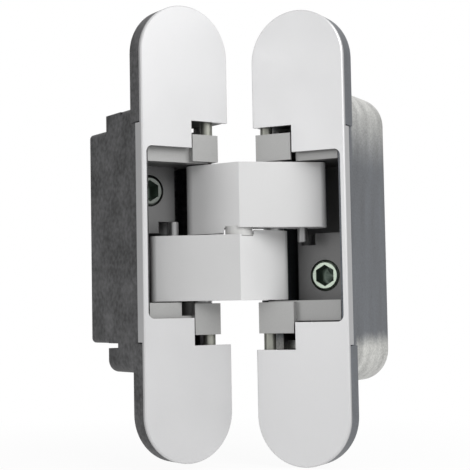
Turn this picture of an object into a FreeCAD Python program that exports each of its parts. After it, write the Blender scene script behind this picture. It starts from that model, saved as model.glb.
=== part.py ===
import FreeCAD, Part
import math
import os

# Concealed door hinge, 110 x 24 mm face, shown 120 degrees open.
# Row frame: origin at the middle of the left flange's back, the face that
# seats in the mortise. Z up along the pivots, Y into the left mortise,
# X towards the right half. Millimetres.

os.makedirs("parts", exist_ok=True)
V = FreeCAD.Vector

# faces and flanges
face_height = 110.0
face_width = 24.0
cover_thickness = 1.2
flange_thickness = 4.5
window_rim = 1.1
step_above_window = 6.6
window_corner = 1.6
notch_reach = 10.4
opening_margin = 0.2
skirt_depth = 3.3
skirt_from_notch = 1.1
skirt_gap = 0.6
edge_break = 0.25

# housings
body_inset = 0.6
inner_inset = 0.1
right_upper_end = 9.9
right_lower_end = 8.7
right_corner = 8.0
right_depth = 28.5
left_depth = 28.5
left_box_from_notch = 0.7
left_upper_end = 3.1
left_upper_depth = 12.8
left_upper_corner = 1.5
left_lower_end = 6.4
left_lower_depth = 19.5
left_lower_corner = 3.0
left_lug_end = 2.8
left_lug_width = 8.0
ear_slit = 1.2
wall = 1.5
floor_depth = 21.5
leg_room_depth = 14.0
side_opening_depth = 11.2

# fixing holes and cover pegs
screw_hole = 4.6
screw_head = 8.4
screw_spacing_across = 9.6
screw_from_end = 9.5
peg_diameter = 2.8
peg_length = 3.0
peg_beyond_notch = 6.4
peg_from_end = 4.2

# arms and pivots, measured in plan at the opening shown
opening_shown = 120.0
opening_full = 180.0
pivot_from_edge = 3.4
pivot_depth = 6.6
arm_reach = 11.5
closed_gap = 4.0
edge_to_middle = 2.8
guide_to_face_width = 8.2
guide_back = 3.0
end_to_face_width = 6.7
end_back = 3.0
end_corner_radius = 1.8
end_corner_back = 1.0
notch_above_arm = 10.5
broad_end = 0.85
narrow_end = 0.36
fold_front = 3.9
knuckle_radius = 3.7
step_from_middle = 3.6
eye_radius = 3.3
end_radius = 4.2

# pins, bushes and washers
pivot_radius = 1.7
pivot_inset = 2.25
eye_bush_radius = 2.6
stub_radius = 1.5
stub_from_edge = 3.6
stub_depth = 3.0
stub_inside = 6.2
stub_outside = 2.2
spacer_radius = 2.6
centre_pin_radius = 1.9
centre_bush_radius = 2.45
centre_pin_inset = 0.3
washer_radius = 3.3
washer_thickness = 2.4
thrust_thickness = 0.5
guide_pin_radius = 1.25
guide_sleeve_radius = 1.75
guide_pin_tail = 2.8
guide_reach = 2.7

# carriers
carrier_end_play = 2.85
carrier_drop = 0.5
leg_inner = 1.8
leg_side_gap = 0.6
leg_front = 0.6
leg_back_gap = 0.3
leg_above_arm = 0.6
ledge_above_arm = 0.3
ledge_thickness = 4.9
groove_depth = 3.2
ledge_front = 2.2
carrier_side_gap = 0.5
carrier_back = 21.1
web_thickness = 1.0
wall_gap = 0.3
block_front = 12.0
block_inside_screw = 7.1
block_gap = 0.3
slot_depth = 3.2
slot_side_gap = 0.45
groove_side_gap = 0.25

# clamping screw in each carrier
set_screw_radius = 3.9
set_screw_to_face_width = 9.3
set_screw_below_arm_top = 5.8
set_screw_front = 11.7
set_screw_hex = 4.6
set_screw_socket = 4.5
set_screw_chamfer = 0.7

# settings of the hinge as shown
left_side_shift = 0.8
right_side_shift = 1.3
left_housing_height = -0.15
right_housing_height = -1.6

# clearances
run_gap = 0.04
press_gap = 0.01
tip_gap = 0.2

# widths that follow from the face width
window_reach = face_width - window_rim
guide_across = face_width - guide_to_face_width
end_across = face_width - end_to_face_width
set_screw_across = face_width - set_screw_to_face_width
block_inner = set_screw_across - block_inside_screw

# heights that follow from the face height
notch_half_height = 0.24636 * face_height
window_half_height = notch_half_height - step_above_window
skirt_half_height = notch_half_height - skirt_from_notch
right_upper_reach = notch_half_height + right_upper_end
right_lower_reach = notch_half_height + right_lower_end
left_box_half_height = notch_half_height - left_box_from_notch
left_upper_reach = notch_half_height + left_upper_end
left_lower_reach = notch_half_height + left_lower_end
left_lug_reach = notch_half_height + left_lug_end
screw_spacing_along = face_height - 2.0 * screw_from_end
peg_spots = (notch_half_height + peg_beyond_notch, face_height / 2.0 - peg_from_end)
arm_top = notch_half_height - notch_above_arm
carrier_half_height = notch_half_height - carrier_end_play
pivot_half_length = carrier_half_height - pivot_inset
centre_pin_half_length = arm_top - centre_pin_inset
stub_inner_end = notch_half_height - stub_inside
stub_outer_end = notch_half_height + stub_outside
set_screw_height = arm_top - set_screw_below_arm_top


# Plan geometry

def unit(angle):
    return math.cos(math.radians(angle)), math.sin(math.radians(angle))


def half_turn_law():
    """Angles of the arm in the half frame as the half opening goes 0 to full / 2."""
    mid = opening_shown / 2.0
    nx, ny = unit(90.0 - mid)
    drop = (pivot_depth + closed_gap / 2.0) / arm_reach
    closed = 270.0 + math.degrees(math.acos(drop))
    across = nx * pivot_from_edge + ny * pivot_depth + edge_to_middle
    shown = 90.0 - mid + 360.0 - math.degrees(math.acos(-across / arm_reach))
    return closed, shown, (closed - shown) / mid


def knuckle_at(half_opening):
    """Middle of the knuckle: x outward from the inner edge, y deep."""
    closed, shown, rate = half_turn_law()
    ux, uy = unit(closed - rate * half_opening)
    return pivot_from_edge + arm_reach * ux, pivot_depth + arm_reach * uy


def guide_at(half_opening):
    """Middle of the guide pin in the opposite half."""
    closed, shown, rate = half_turn_law()
    mid = opening_shown / 2.0
    lean = math.degrees(math.atan2(guide_back, guide_across))
    length = math.hypot(guide_back, guide_across)
    ux, uy = unit(90.0 - mid + lean + (2.0 - rate) * (mid - half_opening))
    cx, cy = knuckle_at(half_opening)
    return cx + length * ux, cy + length * uy


def eye_in_arm():
    """Pivot seen from the knuckle, x to the right and y deep, upper arm."""
    mid = opening_shown / 2.0
    nx, ny = unit(90.0 - mid)
    cx, cy = knuckle_at(mid)
    px = pivot_from_edge - cx
    py = pivot_depth - cy
    return -(px * nx + py * ny), -(px * ny - py * nx)


# Solids in plan

def block(x0, x1, y0, y1, z0, z1):
    """Box with x counted outward from the inner edge."""
    return Part.makeBox(x1 - x0, y1 - y0, z1 - z0, V(-x1, y0, z0))


def rod(x, y, radius, z0, z1):
    """Upright round bar, x counted outward."""
    return Part.makeCylinder(radius, z1 - z0, V(-x, y, z0))


def bar_in(x, z, radius, y0, y1):
    """Round bar pointing into the depth, x counted outward."""
    return Part.makeCylinder(radius, y1 - y0, V(-x, y0, z), V(0, 1, 0))


def prism(points, z0, z1):
    corners = [V(x, y, z0) for x, y in points]
    corners.append(corners[0])
    return Part.Face(Part.makePolygon(corners)).extrude(V(0, 0, z1 - z0))


def disc(x, y, radius, z0, z1):
    return Part.makeCylinder(radius, z1 - z0, V(x, y, z0))


def stadium(inset, y0, y1):
    """Flange outline with full round ends."""
    radius = face_width / 2.0 - inset
    reach = face_height / 2.0 - face_width / 2.0
    middle = -face_width / 2.0
    shape = Part.makeBox(2 * radius, y1 - y0, 2 * reach, V(middle - radius, y0, -reach))
    for end in (-reach, reach):
        shape = shape.fuse(Part.makeCylinder(radius, y1 - y0, V(middle, y0, end), V(0, 1, 0)))
    return shape.removeSplitter()


def rounded(x0, x1, half_height, corner, y0, y1):
    """Rounded rectangle in the face plane, carried into the depth."""
    shape = block(x0, x1, y0, y1, -half_height, half_height)
    upright = []
    for edge in shape.Edges:
        start, end = edge.Vertexes[0].Point, edge.Vertexes[-1].Point
        if abs(start.x - end.x) < 1e-6 and abs(start.z - end.z) < 1e-6:
            upright.append(edge)
    return shape.makeFillet(corner, upright)


def tangent(c0, r0, c1, r1, side):
    """Touch points of the outer tangent of two circles, side +1 left, -1 right."""
    dx, dy = c1[0] - c0[0], c1[1] - c0[1]
    far = math.hypot(dx, dy)
    along = (r0 - r1) / far
    up = side * math.sqrt(1.0 - along * along)
    nx = (dx * along - dy * up) / far
    ny = (dy * along + dx * up) / far
    return (c0[0] + r0 * nx, c0[1] + r0 * ny), (c1[0] + r1 * nx, c1[1] + r1 * ny)


def track(points, radius, z0, z1):
    """Channel swept by a round pin along a smooth path, x counted outward."""
    shown = [V(-x, y, z0) for x, y in points]
    left, right = [], []
    for i, here in enumerate(shown):
        before = shown[max(i - 1, 0)]
        after = shown[min(i + 1, len(shown) - 1)]
        way = (after - before).normalize()
        across = V(-way.y, way.x, 0) * radius
        left.append(here + across)
        right.append(here - across)
    sides = []
    for row in (left, right):
        curve = Part.BSplineCurve()
        curve.interpolate(row)
        sides.append(curve.toShape())
    head_way = (shown[0] - shown[1]).normalize() * radius
    tail_way = (shown[-1] - shown[-2]).normalize() * radius
    head = Part.Arc(left[0], shown[0] + head_way, right[0]).toShape()
    tail = Part.Arc(left[-1], shown[-1] + tail_way, right[-1]).toShape()
    wire = Part.Wire(Part.__sortEdges__([sides[0], tail, sides[1], head]))
    return Part.Face(wire).extrude(V(0, 0, z1 - z0))


def guide_path():
    steps = 9
    half = opening_full / 2.0
    path = [guide_at(half * i / (steps - 1)) for i in range(steps)]
    first, last = path[0], path[-1]
    path[0] = (first[0] + (first[0] - path[1][0]) * 0.05, first[1] + (first[1] - path[1][1]) * 0.05)
    path[-1] = (last[0] + (last[0] - path[-2][0]) * 0.08, last[1] + (last[1] - path[-2][1]) * 0.08)
    return path


# One half: cover and housing, x from the housing's inner edge

def cover_window(margin, y0, y1):
    far = block(-1.0, window_reach + margin, y0, y1,
                -window_half_height - margin, window_half_height + margin)
    outer = []
    for edge in far.Edges:
        mid = edge.CenterOfMass
        if abs(mid.x + window_reach + margin) < 1e-6 and abs(mid.y - (y0 + y1) / 2.0) < 1e-6:
            outer.append(edge)
    far = far.makeFillet(window_corner, outer)
    near = block(-1.0, notch_reach + margin, y0, y1,
                 -notch_half_height - margin, notch_half_height + margin)
    return far.fuse(near)


def cover_plate():
    plate = stadium(0.0, 0.0, cover_thickness)
    rim = [e for e in plate.Edges if e.BoundBox.YMax < 1e-6]
    plate = plate.makeChamfer(edge_break, rim)
    plate = plate.cut(cover_window(0.0, -1.0, cover_thickness + 1.0))
    skirt = block(window_reach, face_width, cover_thickness - 0.2, skirt_depth,
                  -skirt_half_height, skirt_half_height)
    plate = plate.fuse(skirt)
    for spot in peg_spots:
        for way in (-1, 1):
            peg = bar_in(face_width / 2.0, way * spot, peg_diameter / 2.0,
                         cover_thickness - 0.2, cover_thickness + peg_length)
            plate = plate.fuse(peg)
    return plate.removeSplitter()


def carrier_travel():
    return notch_half_height - carrier_half_height - 0.35


def opening_half_height():
    return arm_top + ledge_above_arm + ledge_thickness + carrier_drop + carrier_travel() + 0.4


def ear(way, reach, corner, depth):
    """One end of the cast body, with its two far corners rounded."""
    low, high = sorted((0.0, way * reach))
    front = cover_thickness + flange_thickness - 0.5
    shape = block(inner_inset, face_width - body_inset, front, depth, low, high)
    far = []
    for edge in shape.Edges:
        box = edge.BoundBox
        if box.ZLength < 1e-6 and box.XLength < 1e-6 and abs(box.ZMin - way * reach) < 1e-6:
            far.append(edge)
    return shape.makeFillet(corner, far)


def left_body():
    """Deep box in the middle, a shallow ear with a lug above, a deeper ear below."""
    outer = face_width - body_inset
    front = cover_thickness + flange_thickness - 0.5
    box = left_box_half_height
    shape = rounded(inner_inset, outer, box, 1.2, front, left_depth)
    shape = shape.fuse(ear(1, left_upper_reach, left_upper_corner, left_upper_depth))
    shape = shape.fuse(ear(-1, left_lower_reach, left_lower_corner, left_lower_depth))
    lug = block(outer - left_lug_width, outer, left_upper_depth - 1.0, left_lower_depth,
                box - 1.0, left_lug_reach)
    shape = shape.fuse(lug)
    slit = block(-1.0, face_width, leg_room_depth + 0.6, left_lower_depth + 1.0, -box - ear_slit, -box)
    return shape.cut(slit)


def right_body():
    shape = ear(1, right_lower_reach, right_corner, right_depth)
    return shape.fuse(ear(-1, right_upper_reach, right_corner, right_depth)).removeSplitter()


def housing(body):
    front = cover_thickness
    back = cover_thickness + flange_thickness
    wide = opening_half_height()
    outer = face_width - body_inset
    shape = stadium(0.0, front, back).fuse(body)
    # relief on the outer side for the skirt of the cover
    side = skirt_half_height + 0.3
    shape = shape.cut(block(outer, face_width + 1.0, 0.0, back + 0.01, -side, side))
    shape = shape.cut(block(window_reach - opening_margin, face_width + 1.0, 0.0,
                            skirt_depth + skirt_gap, -side, side))
    # room for the carrier, the arms and the legs
    inner = body_inset + wall
    shape = shape.cut(block(-1.0, outer - wall, 0.0, side_opening_depth, -wide, wide))
    shape = shape.cut(block(inner, outer - wall, 0.0, floor_depth, -wide, wide))
    tall = notch_half_height + opening_margin
    shape = shape.cut(block(-1.0, notch_reach + opening_margin, 0.0, side_opening_depth, -tall, tall))
    shape = shape.cut(block(inner, notch_reach + opening_margin, 0.0, leg_room_depth, -tall, tall))
    # countersunk fixing holes and holes for the cover pegs
    for way in (-1, 1):
        z = way * screw_spacing_along / 2.0
        for x in (face_width / 2.0 - screw_spacing_across / 2.0,
                  face_width / 2.0 + screw_spacing_across / 2.0):
            shape = shape.cut(bar_in(x, z, screw_hole / 2.0, front - 1.0, back + 1.0))
            sink = (screw_head - screw_hole) / 2.0
            cone = Part.makeCone(screw_head / 2.0, screw_hole / 2.0, sink, V(-x, front, z), V(0, 1, 0))
            shape = shape.cut(cone)
        for spot in peg_spots:
            shape = shape.cut(bar_in(face_width / 2.0, way * spot, peg_diameter / 2.0 + press_gap,
                                     front - 1.0, front + peg_length + 0.3))
    return shape


def ear_pockets(shape, way, reach, depth):
    """Two pockets cast into the back of an ear, as in a thin-walled casting."""
    lowest = notch_half_height + opening_margin + 2.0
    highest = reach - 3.8
    middle = face_width / 2.0
    low, high = sorted((way * lowest, way * highest))
    for x0, x1 in ((middle + 3.0, face_width - body_inset - 2.6), (middle - 3.0, middle + 1.4)):
        shape = shape.cut(block(x0, x1, 9.5, depth + 1.0, low, high))
    return shape


def box_pockets(shape, depth):
    """Shallow pockets in the back of the body, behind its floor."""
    rib = 1.8
    tall = (2 * left_box_half_height - 4 * rib) / 3.0
    across = (face_width - 2 * body_inset - 3 * rib) / 2.0
    for i in range(3):
        for j in range(2):
            x0 = body_inset + rib + j * (across + rib)
            z0 = -left_box_half_height + rib + i * (tall + rib)
            shape = shape.cut(block(x0, x0 + across, floor_depth + 2.2, depth + 1.0, z0, z0 + tall))
    return shape


def pivot_rod():
    bar = rod(pivot_from_edge, pivot_depth, pivot_radius, -pivot_half_length, pivot_half_length)
    ends = [e for e in bar.Edges if e.BoundBox.ZLength < 1e-6]
    return bar.makeChamfer(0.3, ends)


def height_stub(way):
    """Short guide pin from the ear into the leg of the carrier."""
    low, high = sorted((way * stub_inner_end, way * stub_outer_end))
    bar = rod(stub_from_edge, stub_depth, stub_radius, low, high)
    ends = [e for e in bar.Edges if e.BoundBox.ZLength < 1e-6]
    return bar.makeChamfer(0.3, ends)


def stub_holes(shape, shift):
    """Press holes for the two height stubs, from the notch into the ears."""
    for way in (-1, 1):
        low, high = sorted((way * notch_half_height, way * (stub_outer_end + 0.3)))
        shape = shape.cut(rod(stub_from_edge + shift, stub_depth, stub_radius + press_gap, low, high))
    return shape


# One half: carrier and what it holds, x from the nominal inner edge

def carrier(drop, shift):
    """Height z counts from the middle of the arms; the carrier is drop higher and
    its housing is shift further outward than the nominal edge."""
    low = drop - carrier_half_height
    high = drop + carrier_half_height
    under_leg = arm_top + leg_above_arm
    under_ledge = arm_top + ledge_above_arm
    over_ledge = under_ledge + ledge_thickness
    leg_back = side_opening_depth - leg_back_gap
    leg_outer = notch_reach - leg_side_gap - shift
    carrier_outer = face_width - body_inset - wall - carrier_side_gap - shift
    shape = block(leg_inner, leg_outer, leg_front, leg_back, under_leg, high)
    shape = shape.fuse(block(leg_inner, leg_outer, leg_front, leg_back, low, -under_leg))
    shape = shape.fuse(rod(pivot_from_edge, pivot_depth, eye_radius - 0.5, under_leg, high))
    shape = shape.fuse(rod(pivot_from_edge, pivot_depth, eye_radius - 0.5, low, -under_leg))
    deep = body_inset + wall + right_side_shift + wall_gap
    for z0, z1 in ((under_ledge, over_ledge), (-over_ledge, -under_ledge)):
        shape = shape.fuse(block(deep, carrier_outer, ledge_front, carrier_back, z0, z1))
    shape = shape.fuse(block(deep, carrier_outer, carrier_back - web_thickness, carrier_back,
                             -over_ledge, over_ledge))
    shape = shape.fuse(block(block_inner, carrier_outer, block_front, carrier_back,
                             block_gap, over_ledge))
    # room above the ledge for the eye of the arm, between ledge and leg
    shape = shape.cut(rod(pivot_from_edge, pivot_depth, eye_radius + 0.6, -under_leg, under_leg))
    # the pivot rod is pressed in from below
    shape = shape.cut(rod(pivot_from_edge, pivot_depth, pivot_radius + press_gap,
                          low - 1.0, pivot_half_length + 0.2))
    # blind bores that run on the height stubs
    for z0, z1 in ((high - stub_inside, high + 1.0), (low - 1.0, low + stub_inside)):
        shape = shape.cut(rod(stub_from_edge, stub_depth, stub_radius + run_gap, z0, z1))
    # guide groove in the ledge beside the broad arm, and its slot in the block
    path = guide_path()
    bottom = -under_ledge - groove_depth
    groove = track(path, guide_sleeve_radius + groove_side_gap, bottom, -under_ledge + 1.0)
    shape = shape.cut(groove)
    last = path[-1]
    reach = guide_sleeve_radius + groove_side_gap
    mouth = min(ledge_front, last[1]) - 1.0
    shape = shape.cut(block(last[0] - reach, last[0] + reach, mouth, last[1],
                            bottom, -under_ledge + 0.5))
    slot = track(path, guide_pin_radius + slot_side_gap, block_gap - 1.0, slot_depth)
    shape = shape.cut(slot)
    # threaded hole for the clamping screw
    shape = shape.cut(bar_in(set_screw_across, set_screw_height, set_screw_radius + press_gap,
                             block_front - 1.0, carrier_back + 1.0))
    return shape.removeSplitter()


def set_screw():
    length = floor_depth - tip_gap - set_screw_front
    screw = bar_in(set_screw_across, set_screw_height, set_screw_radius,
                   set_screw_front, set_screw_front + length)
    ends = [e for e in screw.Edges if e.BoundBox.YLength < 1e-6]
    screw = screw.makeChamfer(set_screw_chamfer, ends)
    corners = []
    radius = set_screw_hex / math.sqrt(3.0)
    for i in range(7):
        ux, uz = unit(60.0 * i + 30.0)
        corners.append(V(-set_screw_across + radius * ux, set_screw_front - 0.1,
                         set_screw_height + radius * uz))
    socket = Part.Face(Part.makePolygon(corners)).extrude(V(0, set_screw_socket, 0))
    screw = screw.cut(socket)
    point = Part.makeCone(set_screw_hex / 2.0, 0.2, 1.2,
                          V(-set_screw_across, set_screw_front + set_screw_socket - 0.2, set_screw_height),
                          V(0, 1, 0))
    return screw.cut(point)


def ring(x, y, outer, inner, z0, z1):
    return disc(x, y, outer, z0, z1).cut(disc(x, y, inner, z0 - 1.0, z1 + 1.0))


def spacer_sleeve():
    under_leg = arm_top + leg_above_arm
    return ring(-pivot_from_edge, pivot_depth, spacer_radius, pivot_radius + run_gap,
                -under_leg, -narrow_end - 0.1)


def thrust_washer():
    under_leg = arm_top + leg_above_arm
    return ring(-pivot_from_edge, pivot_depth, eye_radius - 0.1, pivot_radius + run_gap,
                under_leg - thrust_thickness, under_leg)


# Arms, in plan about the knuckle: x to the right, y deep

def arm():
    """Upper arm: eye on the left, broad end on the right."""
    eye = eye_in_arm()
    end = (end_across, end_back)
    corner = (end_across + end_radius - end_corner_radius, end_corner_back)
    guide = (guide_across, guide_back)
    knuckle = (0.0, 0.0)
    fold = (0.0, -fold_front)
    eye_front = tangent(fold, 0.0, eye, eye_radius, 1)[1]
    knuckle_back, eye_back = tangent(knuckle, knuckle_radius, eye, eye_radius, -1)
    end_front = tangent(fold, 0.0, corner, end_corner_radius, -1)[1]
    tip = end_across + end_radius
    knuckle_behind, end_behind = tangent(knuckle, knuckle_radius, end, end_radius, 1)
    narrow = [fold, eye_front, eye, eye_back, knuckle_back, knuckle]
    broad = [fold, knuckle, knuckle_behind, end_behind, end, (tip, end[1]),
             (tip, corner[1]), corner, end_front]
    shape = prism(broad, broad_end, arm_top)
    shape = shape.fuse(disc(end[0], end[1], end_radius, broad_end, arm_top))
    shape = shape.fuse(disc(corner[0], corner[1], end_corner_radius, broad_end, arm_top))
    shape = shape.fuse(disc(0.0, 0.0, knuckle_radius, broad_end, arm_top))
    # scallop that clears the spacer on the opposite pivot
    other = 180.0 - math.degrees(math.atan2(eye[1], eye[0]))
    closed, shown, rate = half_turn_law()
    turn = (2.0 * rate - 2.0) * (opening_full - opening_shown) / 2.0
    room = spacer_radius + 0.35
    wide = Part.makeCylinder(arm_reach + room, arm_top, V(0, 0, 0), V(0, 0, 1), 40.0)
    tight = Part.makeCylinder(arm_reach - room, arm_top, V(0, 0, 0), V(0, 0, 1), 40.0)
    sweep = wide.cut(tight)
    sweep.rotate(V(0, 0, 0), V(0, 0, 1), other - turn)
    ux, uy = unit(other - turn)
    sweep = sweep.fuse(disc(arm_reach * ux, arm_reach * uy, room, 0.0, arm_top))
    sweep.translate(V(0, 0, broad_end - 0.5))
    sweep = sweep.fuse(sweep.copy().translate(V(0, 0, 1.0)))
    shape = shape.cut(sweep)
    slim = prism(narrow, -narrow_end, arm_top)
    slim = slim.fuse(disc(eye[0], eye[1], eye_radius, -narrow_end, arm_top))
    step = Part.makeBox(60.0, 60.0, 3.0, V(-step_from_middle, -30.0, broad_end - 3.0))
    slim = slim.cut(step)
    shape = shape.fuse(slim)
    # flat facets on both sides of the fold, in front of the knuckle
    front = [eye_front, (eye_front[0], -40.0), (end_front[0], -40.0), end_front, fold]
    shape = shape.cut(prism(front, -1.0, arm_top + 1.0)).removeSplitter()
    # bores
    shape = shape.cut(disc(0.0, 0.0, centre_bush_radius + press_gap, -1.0, arm_top + 1.0))
    shape = shape.cut(disc(0.0, 0.0, washer_radius + 0.3, broad_end - 0.1, washer_thickness / 2.0))
    shape = shape.cut(disc(eye[0], eye[1], eye_bush_radius + press_gap, -1.0, arm_top + 1.0))
    shape = shape.cut(disc(guide[0], guide[1], guide_pin_radius + press_gap, -1.0, arm_top + 1.0))
    return shape


def centre_pin():
    pin = disc(0.0, 0.0, centre_pin_radius, -centre_pin_half_length, centre_pin_half_length)
    ends = [e for e in pin.Edges if e.BoundBox.ZLength < 1e-6]
    return pin.makeChamfer(0.3, ends)


def centre_washer():
    half = washer_thickness / 2.0
    return ring(0.0, 0.0, washer_radius, centre_pin_radius + run_gap, -half + 0.08, half)


def centre_bush(gap):
    return ring(0.0, 0.0, centre_bush_radius, centre_pin_radius + gap,
                washer_thickness / 2.0, arm_top - 0.2)


def eye_bush():
    eye = eye_in_arm()
    return ring(eye[0], eye[1], eye_bush_radius, pivot_radius + run_gap, -narrow_end, arm_top)


def guide_pin():
    top = arm_top + ledge_above_arm + guide_reach
    pin = disc(guide_across, guide_back, guide_pin_radius, -guide_pin_tail, top)
    ends = [e for e in pin.Edges if e.BoundBox.ZLength < 1e-6]
    return pin.makeChamfer(0.25, ends)


def guide_sleeve():
    top = arm_top + ledge_above_arm + guide_reach
    return ring(guide_across, guide_back, guide_sleeve_radius, guide_pin_radius + press_gap,
                arm_top + 0.05, top)


# Placing

def middle_in_row():
    cx, cy = knuckle_at(opening_shown / 2.0)
    return V(face_width / 2.0 - left_side_shift - cx, cy, -left_housing_height)


def in_left(shape, shift):
    """Half frame to row frame; shift moves it outward from the nominal edge."""
    placed = shape.copy()
    placed.translate(V(face_width / 2.0 - left_side_shift - shift, 0, -left_housing_height))
    return placed


def in_right(shape, shift):
    placed = shape.copy()
    placed.translate(V(-shift, 0, 0))
    placed.rotate(V(0, 0, 0), V(0, 1, 0), 180.0)
    cx, cy = knuckle_at(opening_shown / 2.0)
    placed.rotate(V(cx, cy, 0), V(0, 0, 1), opening_shown - 180.0)
    placed.translate(middle_in_row() - V(cx, cy, 0))
    return placed


def as_arm(shape, flipped):
    placed = shape.copy()
    if flipped:
        placed.rotate(V(0, 0, 0), V(0, 1, 0), 180.0)
    placed.rotate(V(0, 0, 0), V(0, 0, 1), opening_shown / 2.0 - 90.0)
    placed.translate(middle_in_row())
    return placed


def raised(shape, height):
    placed = shape.copy()
    placed.translate(V(0, 0, height))
    return placed


def save(name, shape):
    if shape.ShapeType == "Compound" and len(shape.Solids) == 1:
        shape = shape.Solids[0]
    placed = shape.copy()
    placed.translate(V(0, -cover_thickness - flange_thickness, 0))
    placed.exportStep("parts/" + name + ".step")


left_house = box_pockets(housing(left_body()), left_depth)
left_house = ear_pockets(left_house, -1, left_lower_reach, left_lower_depth)
left_house = stub_holes(left_house, left_side_shift)
right_house = box_pockets(housing(right_body()), right_depth)
right_house = ear_pockets(right_house, 1, right_lower_reach, right_depth)
right_house = ear_pockets(right_house, -1, right_upper_reach, right_depth)
right_house = stub_holes(right_house, -right_side_shift)
save("left_housing", in_left(raised(left_house, left_housing_height), -left_side_shift))
save("right_housing", in_right(raised(right_house, -right_housing_height), right_side_shift))
cover = cover_plate()
save("left_cover_plate", in_left(raised(cover, left_housing_height), -left_side_shift))
save("right_cover_plate", in_right(raised(cover, -right_housing_height), right_side_shift))
save("left_upper_stub", in_left(raised(height_stub(1), left_housing_height), 0.0))
save("left_lower_stub", in_left(raised(height_stub(-1), left_housing_height), 0.0))
save("right_upper_stub", in_right(raised(height_stub(-1), -right_housing_height), 0.0))
save("right_lower_stub", in_right(raised(height_stub(1), -right_housing_height), 0.0))

pivot = pivot_rod()
save("left_pivot_rod", in_left(pivot, 0.0))
save("right_pivot_rod", in_right(pivot, 0.0))
save("left_carrier", in_left(carrier(-carrier_drop, left_side_shift), 0.0))
save("right_carrier", in_right(carrier(carrier_drop, -right_side_shift), 0.0))
for name, solid in (("set_screw", set_screw()), ("spacer_sleeve", spacer_sleeve()),
                    ("thrust_washer", thrust_washer())):
    save("left_" + name, in_left(solid, 0.0))
    save("right_" + name, in_right(solid, 0.0))

upper = arm()
save("upper_arm", as_arm(upper, False))
save("lower_arm", as_arm(upper, True))
save("centre_pin", as_arm(centre_pin(), False))
save("centre_washer", as_arm(centre_washer(), False))
save("upper_centre_bush", as_arm(centre_bush(press_gap), False))
save("lower_centre_bush", as_arm(centre_bush(run_gap), True))
save("upper_arm_bush", as_arm(eye_bush(), False))
save("lower_arm_bush", as_arm(eye_bush(), True))
save("right_guide_pin", as_arm(guide_pin(), False))
save("left_guide_pin", as_arm(guide_pin(), True))
save("right_guide_sleeve", as_arm(guide_sleeve(), False))
save("left_guide_sleeve", as_arm(guide_sleeve(), True))
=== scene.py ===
import bmesh
import bpy
import math
import numpy as np
from mathutils import Matrix, Vector


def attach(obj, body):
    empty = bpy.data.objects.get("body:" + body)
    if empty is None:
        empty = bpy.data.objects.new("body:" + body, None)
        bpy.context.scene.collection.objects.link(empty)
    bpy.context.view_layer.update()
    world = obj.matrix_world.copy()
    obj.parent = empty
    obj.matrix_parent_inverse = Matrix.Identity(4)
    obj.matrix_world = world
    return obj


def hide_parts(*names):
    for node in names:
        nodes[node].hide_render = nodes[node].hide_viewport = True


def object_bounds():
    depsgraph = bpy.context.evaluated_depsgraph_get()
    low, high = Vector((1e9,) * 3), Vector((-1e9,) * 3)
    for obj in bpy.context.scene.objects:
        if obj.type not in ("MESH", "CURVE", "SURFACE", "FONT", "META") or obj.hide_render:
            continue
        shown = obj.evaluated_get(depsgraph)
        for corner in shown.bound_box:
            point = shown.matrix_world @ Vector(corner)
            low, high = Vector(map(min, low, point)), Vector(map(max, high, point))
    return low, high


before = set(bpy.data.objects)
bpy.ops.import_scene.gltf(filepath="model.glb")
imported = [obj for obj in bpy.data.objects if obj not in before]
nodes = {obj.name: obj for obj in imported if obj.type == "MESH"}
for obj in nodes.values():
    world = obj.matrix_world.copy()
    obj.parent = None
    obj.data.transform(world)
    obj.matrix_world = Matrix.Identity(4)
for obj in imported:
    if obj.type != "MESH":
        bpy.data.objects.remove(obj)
cad_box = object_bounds()
scene = bpy.context.scene


# Cover plates: zinc die castings with full round ends and a T-shaped window,
# tumbled, plated and brushed to a satin silver. They press onto the flanges
# with pegs, and their rims are lightly broken.

MM = 0.001
SATIN_SILVER = (0.62, 0.62, 0.625, 1.0)
RIM_BREAK = 0.10 * MM
WELD = 0.002 * MM
FLAT_ANGLE = math.radians(0.5)
EDGE_ANGLE = math.radians(30)
BUMP_HEIGHT = 0.05 * MM
ROUGHNESS_SWING = 0.2
RAGGED_PER_METRE = 260.0


def add_socket(group, name, way, kind, value=None):
    socket = group.interface.new_socket(name, in_out=way, socket_type=kind)
    if value is not None:
        socket.default_value = value
    return socket


def wire(tree, *pairs):
    for source, target in pairs:
        tree.links.new(source, target)


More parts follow.
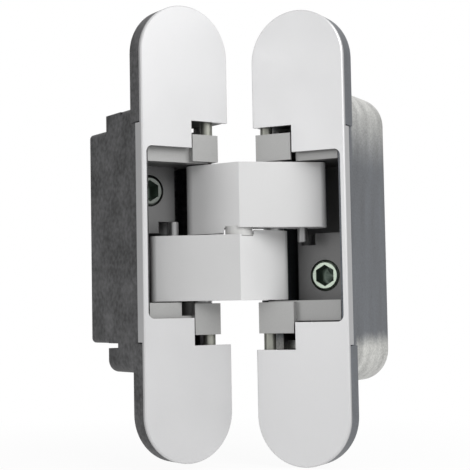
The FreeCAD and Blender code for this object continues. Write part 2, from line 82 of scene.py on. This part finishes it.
def grain_group():
    """Fine even grain: a small noise for the tumbled skin, a larger one for cloudy plating, and the small
    one again as the height of a bump."""
    group = bpy.data.node_groups.new("satin grain", "ShaderNodeTree")
    add_socket(group, "Colour", "INPUT", "NodeSocketColor", SATIN_SILVER)
    add_socket(group, "Roughness", "INPUT", "NodeSocketFloat", 0.4)
    add_socket(group, "Grain per metre", "INPUT", "NodeSocketFloat", 5200.0)
    add_socket(group, "Cloud per metre", "INPUT", "NodeSocketFloat", 90.0)
    add_socket(group, "Stretch", "INPUT", "NodeSocketVector", (1.0, 1.0, 1.0))
    add_socket(group, "Mottle", "INPUT", "NodeSocketFloat", 0.06)
    add_socket(group, "Bump", "INPUT", "NodeSocketFloat", 0.05)
    add_socket(group, "Colour", "OUTPUT", "NodeSocketColor")
    add_socket(group, "Roughness", "OUTPUT", "NodeSocketFloat")
    add_socket(group, "Normal", "OUTPUT", "NodeSocketVector")
    new = group.nodes.new
    given, out = new("NodeGroupInput"), new("NodeGroupOutput")
    place = new("ShaderNodeTexCoord")
    fine, cloud = new("ShaderNodeTexNoise"), new("ShaderNodeTexNoise")
    fine.inputs["Detail"].default_value = 3.0
    cloud.inputs["Detail"].default_value = 4.0
    drawn = new("ShaderNodeVectorMath")
    drawn.operation = "MULTIPLY"
    both = new("ShaderNodeMath")
    both.operation = "ADD"
    centred = new("ShaderNodeMath")
    centred.operation = "SUBTRACT"
    centred.inputs[1].default_value = 1.0
    shade = new("ShaderNodeMath")
    shade.operation = "MULTIPLY_ADD"
    shade.inputs[2].default_value = 1.0
    tint = new("ShaderNodeVectorMath")
    tint.operation = "SCALE"
    rough = new("ShaderNodeMath")
    rough.operation = "MULTIPLY_ADD"
    rough.inputs[1].default_value = ROUGHNESS_SWING
    bump = new("ShaderNodeBump")
    bump.inputs["Distance"].default_value = BUMP_HEIGHT
    wire(group, (place.outputs["Object"], fine.inputs["Vector"]),
         (place.outputs["Object"], drawn.inputs[0]), (given.outputs["Stretch"], drawn.inputs[1]),
         (drawn.outputs[0], cloud.inputs["Vector"]),
         (given.outputs["Grain per metre"], fine.inputs["Scale"]),
         (given.outputs["Cloud per metre"], cloud.inputs["Scale"]),
         (fine.outputs["Fac"], both.inputs[0]), (cloud.outputs["Fac"], both.inputs[1]),
         (both.outputs[0], centred.inputs[0]),
         (centred.outputs[0], shade.inputs[0]), (given.outputs["Mottle"], shade.inputs[1]),
         (given.outputs["Colour"], tint.inputs[0]), (shade.outputs[0], tint.inputs["Scale"]),
         (tint.outputs[0], out.inputs["Colour"]),
         (centred.outputs[0], rough.inputs[0]), (given.outputs["Roughness"], rough.inputs[2]),
         (rough.outputs[0], out.inputs["Roughness"]),
         (fine.outputs["Fac"], bump.inputs["Height"]), (given.outputs["Bump"], bump.inputs["Strength"]),
         (bump.outputs["Normal"], out.inputs["Normal"]))
    return group


satin_grain = grain_group()


def finish_of(name, colour, roughness, metallic, **amounts):
    """A metal or moulding: the grain group feeds colour, roughness and normal of one shader."""
    material = bpy.data.materials.new(name)
    material.use_nodes = True
    tree = material.node_tree
    shader = tree.nodes["Principled BSDF"]
    shader.inputs["Metallic"].default_value = metallic
    grain = tree.nodes.new("ShaderNodeGroup")
    grain.node_tree = satin_grain
    grain.inputs["Colour"].default_value = colour
    grain.inputs["Roughness"].default_value = roughness
    for socket, value in amounts.items():
        grain.inputs[socket.replace("_", " ")].default_value = value
    wire(tree, (grain.outputs["Colour"], shader.inputs["Base Color"]),
         (grain.outputs["Roughness"], shader.inputs["Roughness"]),
         (grain.outputs["Normal"], shader.inputs["Normal"]))
    return material


def second_tone(material, colour, other, *bands, only=None, ragged=0.0):
    """Fades to the other colour past any of the bands, and with only, not in front of that one; a band is
    a direction, the distance where it starts and the distance where it is full. Ragged is how far a noise
    shifts the bands' edges."""
    tree = material.node_tree
    place = tree.nodes.new("ShaderNodeTexCoord")
    noise = None
    if ragged:
        noise = tree.nodes.new("ShaderNodeTexNoise")
        noise.inputs["Scale"].default_value = RAGGED_PER_METRE
        noise.inputs["Detail"].default_value = 3.0
        wire(tree, (place.outputs["Object"], noise.inputs["Vector"]))

    def masked(band):
        direction, start, full = band
        along = tree.nodes.new("ShaderNodeVectorMath")
        along.operation = "DOT_PRODUCT"
        along.inputs[1].default_value = direction
        wire(tree, (place.outputs["Object"], along.inputs[0]))
        reached = along.outputs["Value"]
        if noise:
            shifted = tree.nodes.new("ShaderNodeMath")
            shifted.operation = "MULTIPLY_ADD"
            shifted.inputs[1].default_value = ragged
            wire(tree, (noise.outputs["Fac"], shifted.inputs[0]), (reached, shifted.inputs[2]))
            reached = shifted.outputs[0]
        fade = tree.nodes.new("ShaderNodeMapRange")
        fade.interpolation_type = "SMOOTHSTEP"
        fade.inputs["From Min"].default_value = start + ragged / 2
        fade.inputs["From Max"].default_value = full + ragged / 2
        wire(tree, (reached, fade.inputs["Value"]))
        return fade.outputs["Result"]

    def joined(operation, first, second):
        node = tree.nodes.new("ShaderNodeMath")
        node.operation = operation
        wire(tree, (first, node.inputs[0]), (second, node.inputs[1]))
        return node.outputs[0]

    amount = masked(bands[0])
    for band in bands[1:]:
        amount = joined("MAXIMUM", amount, masked(band))
    if only:
        amount = joined("MULTIPLY", amount, masked(only))
    blend = tree.nodes.new("ShaderNodeMix")
    blend.data_type = "RGBA"
    blend.inputs["A"].default_value = colour
    blend.inputs["B"].default_value = other
    grain = next(node for node in tree.nodes if node.type == "GROUP")
    wire(tree, (amount, blend.inputs["Factor"]), (blend.outputs["Result"], grain.inputs["Colour"]))


def softened(node, body, material, rounding):
    """The node's triangles merged into whole faces, with each edge sharper than 30 degrees rounded."""
    mesh = nodes[node].data.copy()
    mesh.name = node + "_finished"
    work = bmesh.new()
    work.from_mesh(mesh)
    bmesh.ops.remove_doubles(work, verts=work.verts, dist=WELD)
    bmesh.ops.dissolve_limit(work, angle_limit=FLAT_ANGLE, verts=work.verts, edges=work.edges)
    bmesh.ops.dissolve_degenerate(work, dist=WELD, edges=work.edges)
    work.to_mesh(mesh)
    work.free()
    mesh.materials.clear()
    mesh.materials.append(material)
    for face in mesh.polygons:
        face.use_smooth = True
    mesh.set_sharp_from_angle(angle=EDGE_ANGLE)
    piece = bpy.data.objects.new(node + "_finished", mesh)
    scene.collection.objects.link(piece)
    edges = piece.modifiers.new("edges", "BEVEL")
    edges.width = rounding
    edges.segments = 2
    edges.limit_method = "ANGLE"
    edges.angle_limit = EDGE_ANGLE
    edges.harden_normals = True
    edges.use_clamp_overlap = True
    flats = piece.modifiers.new("flats", "WEIGHTED_NORMAL")
    flats.keep_sharp = True
    flats.weight = 90
    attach(piece, body)
    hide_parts(node)
    return piece


# The plate's sides, from just behind the front face inwards, fade to a darker silver: painted shade for sides
# turned away from the light.
SKIRT_PAINTED_SHADE = (0.40, 0.40, 0.405, 1.0)
SKIRT_SHADE_FROM, SKIRT_SHADE_TO = 0.35 * MM, 0.75 * MM
HALVES_TURN = math.radians(180.0 - 120.0)
INTO_MORTISE = {"left": (0.0, 1.0, 0.0), "right": (math.sin(HALVES_TURN), math.cos(HALVES_TURN), 0.0)}
for side, inward in INTO_MORTISE.items():
    plate = nodes[side + "_cover_plate"]
    face = min(np.dot(vertex.co, inward) for vertex in plate.data.vertices)
    satin_cover_shaded = finish_of(side + " satin silver cover", SATIN_SILVER, roughness=0.42, metallic=0.6)
    second_tone(satin_cover_shaded, SATIN_SILVER, SKIRT_PAINTED_SHADE, (inward, face + SKIRT_SHADE_FROM, face + SKIRT_SHADE_TO))
    softened(side + "_cover_plate", side + "_half", satin_cover_shaded, RIM_BREAK)


# Arms: two castings alike, the lower one turned end for end. Each front is
# folded at the knuckle, plated as the covers are and brushed by hand. The two
# faces beside a crease, and the two arms, differ in tone as painted light and
# shade, for how each face is turned to the lamps.

ARM_ROUNDING = 0.18 * MM
CREASE_BLEND = 0.1 * MM
# For each arm: the azimuth that its crease faces, the side of the broad face
# (1 is right), and the painted light and shade tones of the narrow and the broad face.
ARM_FACES_PAINTED_TONES = {"upper": (-44.5, 1, (0.70, 0.70, 0.70, 1.0), (0.64, 0.64, 0.64, 1.0)),
             "lower": (-15.5, -1, (0.82, 0.82, 0.82, 1.0), (0.60, 0.60, 0.60, 1.0))}
for name, (facing, broad_side, narrow_painted_tone, broad_painted_tone) in ARM_FACES_PAINTED_TONES.items():
    out = np.array((math.sin(math.radians(facing)), -math.cos(math.radians(facing)), 0.0))
    across = np.array((-out[1], out[0], 0.0)) * broad_side
    corners = np.array([vertex.co for vertex in nodes[name + "_arm"].data.vertices])
    crease = corners[(corners @ out).argmax()] @ across
    satin_arm_shaded = finish_of(name + " satin silver arm with painted face shade", narrow_painted_tone, roughness=0.42, metallic=0.12)
    # Painted light and shade: the narrow face keeps one tone, and the broad face past the crease takes the other.
    second_tone(satin_arm_shaded, narrow_painted_tone, broad_painted_tone,
                (tuple(across), crease - CREASE_BLEND / 2, crease + CREASE_BLEND / 2))
    softened(name + "_arm", name + "_link", satin_arm_shaded, ARM_ROUNDING)


# Carriers: the castings in the windows that hold the arms and slide in
# height on short stubs, plated but left duller than the covers, with painted
# shade that darkens them deeper into the housing.

CARRIER_GREY = (0.37, 0.37, 0.365, 1.0)
CARRIER_PAINTED_SHADE = (0.15, 0.15, 0.15, 1.0)
RECESS_SHADE_FADE = {"left": (-3.4 * MM, 2.0 * MM), "right": (10.5 * MM, 14.5 * MM)}
CARRIER_ROUNDING = 0.15 * MM
for side, (shade_start, shade_full) in RECESS_SHADE_FADE.items():
    plated_carrier_shaded = finish_of(side + " plated carrier with painted recess shade", CARRIER_GREY, roughness=0.45, metallic=0.6,
                               Grain_per_metre=3000.0, Mottle=0.16, Bump=0.2)
    # Painted shade: the carrier fades to a dark grey the deeper it lies in the housing, where the light does not
    # reach.
    second_tone(plated_carrier_shaded, CARRIER_GREY, CARRIER_PAINTED_SHADE, (INTO_MORTISE[side], shade_start, shade_full))
    softened(side + "_carrier", side + "_slide", plated_carrier_shaded, CARRIER_ROUNDING)


# Housings: plain zinc die castings as they leave the mould, rough and
# mottled dark grey, each with a flange that is let into the wood.

CAST_ROUNDING = 0.3 * MM
ROUGH_CAST = (0.072, 0.072, 0.074, 1.0)
SMOOTH_CAST = (0.100, 0.108, 0.120, 1.0)
TUMBLED_END = (0.50, 0.50, 0.48, 1.0)
UPPER_END = ((0.0, 0.0, 1.0), 14.0 * MM, 34.0 * MM)
LOWER_END = ((0.0, 0.0, -1.0), 24.5 * MM, 29.0 * MM)
BEHIND_FLANGE = (INTO_MORTISE["right"], 15.6 * MM, 17.0 * MM)
rough_casting = finish_of("rough zinc casting", ROUGH_CAST, roughness=0.6, metallic=0.6, Grain_per_metre=900.0,
                          Cloud_per_metre=150.0, Stretch=(1.0, 1.0, 0.8), Mottle=2.3, Bump=0.5)
smooth_casting = finish_of("smooth zinc casting", SMOOTH_CAST, roughness=0.45, metallic=0.6, Grain_per_metre=2200.0,
                           Cloud_per_metre=230.0, Stretch=(1.0, 1.0, 0.22), Mottle=1.3, Bump=0.25)
second_tone(smooth_casting, SMOOTH_CAST, TUMBLED_END, UPPER_END, LOWER_END, only=BEHIND_FLANGE, ragged=2.5 * MM)
softened("left_housing", "left_half", rough_casting, CAST_ROUNDING)
softened("right_housing", "right_half", smooth_casting, CAST_ROUNDING)


# Clamping screws: steel screws with a hexagon socket that clamp each
# carrier in its housing, zinc plated with a faint green tint; the left one
# is darker as painted shade, and the sockets carry painted shade too.

# The left tint is darker than the right as painted shade, for the shadow the left screw sits in.
SCREW_TINTS_WITH_PAINTED_SHADE = {"left": (0.17, 0.185, 0.17, 1.0), "right": (0.38, 0.44, 0.37, 1.0)}
SOCKET_PAINTED_SHADE = (0.16, 0.20, 0.17, 1.0)
SOCKET_RADIUS = 2.68 * MM
FRONT_TO_MIDDLE = 4.7 * MM
SCREW_ROUNDING = 0.08 * MM
# Painted shade in the hexagon sockets: their walls and floor take this darker material.
socket_shade = finish_of("painted socket shade", SOCKET_PAINTED_SHADE, roughness=0.4, metallic=0.9)
for side, tint in SCREW_TINTS_WITH_PAINTED_SHADE.items():
    zinc_screw = finish_of(side + " zinc plated screw", tint, roughness=0.3, metallic=1.0, Mottle=0.1)
    screw = softened(side + "_set_screw", side + "_slide", zinc_screw, SCREW_ROUNDING)
    screw.data.materials.append(socket_shade)
    # Faces within the socket radius and behind the front are given the painted shade material.
    centres = np.array([face.center for face in screw.data.polygons])
    ends = np.array([vertex.co for vertex in screw.data.vertices])
    middle = (ends.min(0) + ends.max(0)) / 2
    inward = np.array(INTO_MORTISE[side])
    off_axis = centres - middle
    off_axis -= np.outer(off_axis @ inward, inward)
    inside = np.linalg.norm(off_axis, axis=1) < SOCKET_RADIUS
    buried = (centres - middle) @ inward > -FRONT_TO_MIDDLE
    for face, dark in zip(screw.data.polygons, inside & buried):
        face.material_index = int(dark)


# Rods, pins and spacers: ground steel bar. The pivot rods are pressed into the
# carriers, the centre pin joins the arms, the guide pins run in the carriers,
# and the short stubs from the housings guide the carriers in height.

GROUND_STEEL = (0.62, 0.62, 0.62, 1.0)
DARK_STEEL = (0.26, 0.26, 0.26, 1.0)
OLIVE_STEEL = (0.30, 0.305, 0.27, 1.0)
SMALL_ROUNDING = 0.05 * MM
ground_steel = finish_of("ground steel", GROUND_STEEL, roughness=0.3, metallic=1.0, Mottle=0.04)
for name, body in (("left_pivot_rod", "left_slide"), ("right_pivot_rod", "right_slide"),
                   ("centre_pin", "upper_link"), ("left_spacer_sleeve", "left_slide"),
                   ("right_spacer_sleeve", "right_slide")):
    softened(name, body, ground_steel, SMALL_ROUNDING)
# The guide pins take a steel about half as light as the ground steel.
dark_steel = finish_of("dark steel", DARK_STEEL, roughness=0.35, metallic=0.9, Mottle=0.1)
for name, body in (("right_guide_pin", "upper_link"), ("left_guide_pin", "lower_link")):
    softened(name, body, dark_steel, SMALL_ROUNDING)
olive_steel = finish_of("olive passivated steel", OLIVE_STEEL, roughness=0.4, metallic=0.7, Mottle=0.15)
for side in ("left", "right"):
    for end in ("upper", "lower"):
        softened(f"{side}_{end}_stub", side + "_half", olive_steel, SMALL_ROUNDING)


# Bushes, sleeves and washers: moulded bearing plastic, pressed into the
# arms or laid between the moving pieces so that metal never runs on metal.
# The washer between the arms is of a paler kind.

BEARING_BLACK = (0.05, 0.05, 0.05, 1.0)
BEARING_PALE = (0.62, 0.62, 0.61, 1.0)
bearing_plastic = finish_of("bearing plastic", BEARING_BLACK, roughness=0.5, metallic=0.0, Mottle=0.05)
for name, body in (("upper_centre_bush", "upper_link"), ("lower_centre_bush", "lower_link"),
                   ("upper_arm_bush", "upper_link"), ("lower_arm_bush", "lower_link"),
                   ("left_thrust_washer", "left_slide"), ("right_thrust_washer", "right_slide"),
                   ("right_guide_sleeve", "upper_link"), ("left_guide_sleeve", "lower_link")):
    softened(name, body, bearing_plastic, SMALL_ROUNDING)
pale_plastic = finish_of("pale worn bearing plastic", BEARING_PALE, roughness=0.5, metallic=0.0, Mottle=0.1)
softened("centre_washer", "upper_link", pale_plastic, SMALL_ROUNDING)


# Floor and daylight: a pale table top just under the hinge that keeps its
# faint shadow, a white room, and two soft boxes in front and to the left.

FLOOR_GAP = 0.2 * MM
FLOOR_RINGS = (0.0, 0.12, 0.3, 3.0)
FLOOR_SIDES = 64
TABLE_WHITE = (0.8, 0.8, 0.8, 1.0)
SHADOW_REACH = (0.06, 0.16)
WHITE_UNDER_HINGE = 0.94
ROOM_STRENGTH = 0.44
WHITE = (1.0, 1.0, 1.0, 1.0)
GREY_CLOTH = (0.2, 0.2, 0.2, 1.0)


def table_top(height):
    """A disc: radius grows along one parameter, the angle turns along the other."""
    turns = np.linspace(0, 2 * math.pi, FLOOR_SIDES + 1)[:-1]
    radius, angle = np.meshgrid(np.array(FLOOR_RINGS), turns, indexing="ij")
    points = np.stack([radius * np.cos(angle), radius * np.sin(angle), np.full_like(radius, height)], -1)
    rings, around = radius.shape
    i, j = np.meshgrid(np.arange(rings - 1), np.arange(around), indexing="ij")
    k = (j + 1) % around
    faces = np.stack([i * around + j, (i + 1) * around + j, (i + 1) * around + k, i * around + k], -1)
    mesh = bpy.data.meshes.new("table_top")
    mesh.from_pydata(points.reshape(-1, 3).tolist(), [], faces.reshape(-1, 4).tolist())
    mesh.update()
    top = bpy.data.objects.new("table_top", mesh)
    scene.collection.objects.link(top)
    return top


def white_table():
    """Pale and shadowed near the hinge, plain white to the eye further out."""
    material = bpy.data.materials.new("pale table")
    material.use_nodes = True
    tree = material.node_tree
    shader = tree.nodes["Principled BSDF"]
    shader.inputs["Base Color"].default_value = TABLE_WHITE
    shader.inputs["Roughness"].default_value = 0.9
    shader.inputs["Specular IOR Level"].default_value = 0.0
    place, away = tree.nodes.new("ShaderNodeTexCoord"), tree.nodes.new("ShaderNodeVectorMath")
    away.operation = "LENGTH"
    fade = tree.nodes.new("ShaderNodeMapRange")
    fade.inputs["From Min"].default_value, fade.inputs["From Max"].default_value = SHADOW_REACH
    fade.inputs["To Min"].default_value = WHITE_UNDER_HINGE
    path = tree.nodes.new("ShaderNodeLightPath")
    seen, by_eye = tree.nodes.new("ShaderNodeMath"), tree.nodes.new("ShaderNodeMath")
    seen.operation = "MAXIMUM"
    by_eye.operation = "MULTIPLY"
    white = tree.nodes.new("ShaderNodeEmission")
    mix = tree.nodes.new("ShaderNodeMixShader")
    wire(tree, (place.outputs["Object"], away.inputs[0]), (away.outputs["Value"], fade.inputs["Value"]),
         (path.outputs["Is Camera Ray"], seen.inputs[0]), (path.outputs["Is Glossy Ray"], seen.inputs[1]),
         (seen.outputs[0], by_eye.inputs[0]), (fade.outputs["Result"], by_eye.inputs[1]),
         (by_eye.outputs[0], mix.inputs[0]), (shader.outputs[0], mix.inputs[1]),
         (white.outputs[0], mix.inputs[2]), (mix.outputs[0], tree.nodes["Material Output"].inputs["Surface"]))
    return material


floor = table_top(cad_box[0][2] - FLOOR_GAP)
floor.data.materials.append(white_table())

world = bpy.data.worlds.new("white room")
world.use_nodes = True
scene.world = world
sky = world.node_tree
room = sky.nodes["Background"]
seen_white = sky.nodes.new("ShaderNodeBackground")
seen_white.inputs["Strength"].default_value = 1.0
seen_white.inputs["Color"].default_value = WHITE
room.inputs["Color"].default_value = WHITE
room.inputs["Strength"].default_value = ROOM_STRENGTH
path = sky.nodes.new("ShaderNodeLightPath")
eye = sky.nodes.new("ShaderNodeMath")
eye.operation = "MAXIMUM"
through = sky.nodes.new("ShaderNodeMath")
through.operation = "MAXIMUM"
blend = sky.nodes.new("ShaderNodeMixShader")
wire(sky, (path.outputs["Is Camera Ray"], eye.inputs[0]), (path.outputs["Is Glossy Ray"], eye.inputs[1]),
     (eye.outputs[0], through.inputs[0]), (path.outputs["Is Transmission Ray"], through.inputs[1]),
     (through.outputs[0], blend.inputs[0]), (room.outputs[0], blend.inputs[1]),
     (seen_white.outputs[0], blend.inputs[2]), (blend.outputs[0], sky.nodes["World Output"].inputs["Surface"]))


def from_hinge(azimuth, elevation):
    """The direction in degrees as a vector: azimuth 0 is in front of the left half, 90 to its right."""
    a, e = math.radians(azimuth), math.radians(elevation)
    return Vector((math.sin(a) * math.cos(e), -math.cos(a) * math.cos(e), math.sin(e)))


def soft_lamp(name, azimuth, elevation, distance, size, watts):
    """A square soft box that faces the hinge from that direction."""
    back = from_hinge(azimuth, elevation)
    lamp = bpy.data.lights.new(name, "AREA")
    lamp.size = size
    lamp.energy = watts
    holder = bpy.data.objects.new(name, lamp)
    holder.location = back * distance
    holder.rotation_euler = back.to_track_quat("Z", "Y").to_euler()
    scene.collection.objects.link(holder)


def grey_flag(name, azimuth, elevation, distance, across, tall):
    """A grey card that only reflections see, so that a turned side reads darker."""
    back = from_hinge(azimuth, elevation)
    corners = np.array([(-1, -1, 0), (1, -1, 0), (1, 1, 0), (-1, 1, 0)]) * (across / 2, tall / 2, 1)
    mesh = bpy.data.meshes.new(name)
    mesh.from_pydata(corners.tolist(), [], [(0, 1, 2, 3)])
    card = bpy.data.objects.new(name, mesh)
    card.location = back * distance
    card.rotation_euler = back.to_track_quat("Z", "Y").to_euler()
    card.visible_camera = card.visible_diffuse = card.visible_shadow = False
    mesh.materials.append(grey_cloth)
    scene.collection.objects.link(card)


grey_cloth = finish_of("grey cloth", GREY_CLOTH, roughness=0.9, metallic=0.0)
grey_flag("left flag", azimuth=-122, elevation=5, distance=0.4, across=0.3, tall=0.6)
soft_lamp("front box", azimuth=5, elevation=35, distance=0.9, size=0.6, watts=5.2)
soft_lamp("left box", azimuth=-100, elevation=4, distance=0.9, size=0.6, watts=2.0)


# Camera: a long lens close to level, from between the two faces, with the
# small roll that the photograph has.

CAMERA_AZIMUTH = -33.06
CAMERA_ELEVATION = -3.43
CAMERA_ROLL = -1.035
CAMERA_DISTANCE = 0.3
LENS_OVER_FRAME = 1239.2 / 470.0
AIM = Vector((12.081, -9.773, 0.15)) * MM
AIM_ACROSS = -0.958 * MM
AIM_UP = -0.814 * MM

turn = math.radians(CAMERA_AZIMUTH)
toward_camera = from_hinge(CAMERA_AZIMUTH, CAMERA_ELEVATION)
target = AIM + Vector((math.cos(turn), math.sin(turn), 0)) * AIM_ACROSS + Vector((0, 0, AIM_UP))
camera = bpy.data.objects.new("camera", bpy.data.cameras.new("camera"))
camera.data.sensor_width = 36.0
camera.data.lens = 36.0 * LENS_OVER_FRAME
camera.data.clip_start = 0.01
camera.location = target + toward_camera * CAMERA_DISTANCE
look = (-toward_camera).to_track_quat("-Z", "Y").to_matrix().to_4x4()
camera.rotation_euler = (look.to_3x3() @ Matrix.Rotation(math.radians(CAMERA_ROLL), 3, "Z")).to_euler()
scene.collection.objects.link(camera)
scene.camera = camera
scene.view_settings.view_transform = "Standard"
